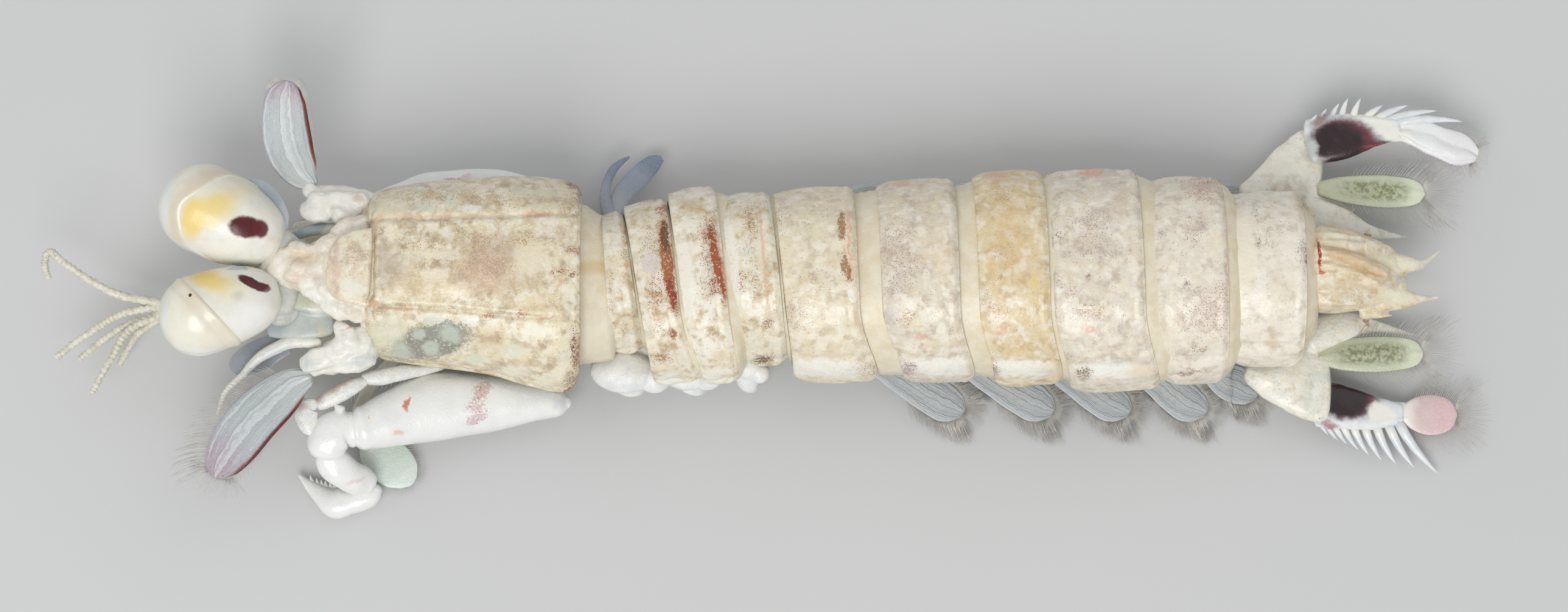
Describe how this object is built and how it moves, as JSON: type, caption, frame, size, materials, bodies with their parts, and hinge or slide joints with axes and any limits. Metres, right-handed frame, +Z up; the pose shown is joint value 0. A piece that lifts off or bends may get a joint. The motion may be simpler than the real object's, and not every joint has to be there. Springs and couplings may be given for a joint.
{
  "type": "mantis shrimp",
  "caption": "Still, life-size mantis shrimp lying on its belly: stalked eyes, shielded head, ringed body, one claw let down, spined tail fan spread.",
  "frame": {"origin": "on the floor, below the middle of the whole animal's box, feelers and tail fan included", "axes": "+X from the head towards the tail, +Y to the animal's right, +Z up"},
  "size_m": [0.0786, 0.023, 0.0098],
  "materials": {
    "carapace_shell": "thin wet shell, cream with fine brown specks and grey-brown marbling, soft gloss",
    "thorax_shell": "thin wet shell, beige crossed by white, brown and dark red bands",
    "abdomen_shell": "thin wet shell, beige with fine brown specks, lilac marbling and white side plates",
    "telson_shell": "thin wet shell, cream with an orange-tan keel and pale keels and teeth",
    "soft_skin": "smooth soft skin, cream with orange-brown marks",
    "eyestalk": "smooth wet stalk, bluish white with dark red and yellow marks",
    "cornea": "clear gloss over a creamy white faceted eye",
    "feeler": "translucent cream, finely ringed",
    "scale_blade": "thin translucent blade, blue-grey and purple with a dark red edge and fine hairs",
    "claw_shell": "hard opaque white shell with a red spot and speckled patches",
    "mouth_limb": "translucent cream and greenish grey, speckled brown, with fine hairs",
    "walking_limb": "white bases and translucent bluish branches",
    "swimmeret": "translucent bluish green leaves with feathery hairs",
    "tail_shell": "thin wet shell, cream and brown with pale spines",
    "exopod_shell": "thin wet shell, white ridge over maroon and black, with a comb of white spines",
    "tail_paddle": "thin blade, white at its base and pink, with feathery hairs",
    "tail_blade": "thin translucent blade, greenish yellow, with feathery hairs"
  },
  "bodies": {
    "root": {"abdominal_somite_1": "abdomen_shell", "abdominal_somite_2": "abdomen_shell", "abdominal_somite_3": "abdomen_shell", "abdominal_somite_4": "abdomen_shell", "abdominal_somite_5": "abdomen_shell", "abdominal_somite_6": "abdomen_shell", "antenna_left": "feeler", "antenna_right": "feeler", "antennal_scale_left": "scale_blade", "antennal_scale_right": "scale_blade", "antennule_left": "feeler", "antennule_right": "feeler", "carapace": "carapace_shell", "claw_left_carpus": "claw_shell", "claw_left_dactylus": "claw_shell", "claw_left_merus": "claw_shell", "claw_left_propodus": "claw_shell", "claw_right_carpus": "claw_shell", "claw_right_dactylus": "claw_shell", "claw_right_merus": "claw_shell", "claw_right_propodus": "claw_shell", "cornea_left": "cornea", "cornea_right": "cornea", "eyestalk_left": "eyestalk", "eyestalk_right": "eyestalk", "head_front": "soft_skin", "maxilliped_1_left": "mouth_limb", "maxilliped_1_right": "mouth_limb", "maxilliped_3_left": "mouth_limb", "maxilliped_3_right": "mouth_limb", "maxilliped_4_left": "mouth_limb", "maxilliped_4_right": "mouth_limb", "maxilliped_5_left": "mouth_limb", "maxilliped_5_right": "mouth_limb", "pleopods_1": "swimmeret", "pleopods_2": "swimmeret", "pleopods_3": "swimmeret", "pleopods_4": "swimmeret", "pleopods_5": "swimmeret", "rostral_plate": "carapace_shell", "telson": "telson_shell", "thoracic_somite_5": "thorax_shell", "thoracic_somite_6": "thorax_shell", "thoracic_somite_7": "thorax_shell", "thoracic_somite_8": "thorax_shell", "thorax_underside": "soft_skin", "uropod_left_endopod": "tail_blade", "uropod_left_exopod": "exopod_shell", "uropod_left_paddle": "tail_paddle", "uropod_left_protopod": "tail_shell", "uropod_right_endopod": "tail_blade", "uropod_right_exopod": "exopod_shell", "uropod_right_paddle": "tail_paddle", "uropod_right_protopod": "tail_shell", "walking_leg_1_left": "walking_limb", "walking_leg_1_right": "walking_limb", "walking_leg_2_left": "walking_limb", "walking_leg_2_right": "walking_limb", "walking_leg_3_left": "walking_limb", "walking_leg_3_right": "walking_limb"}
  },
  "joints": []
}
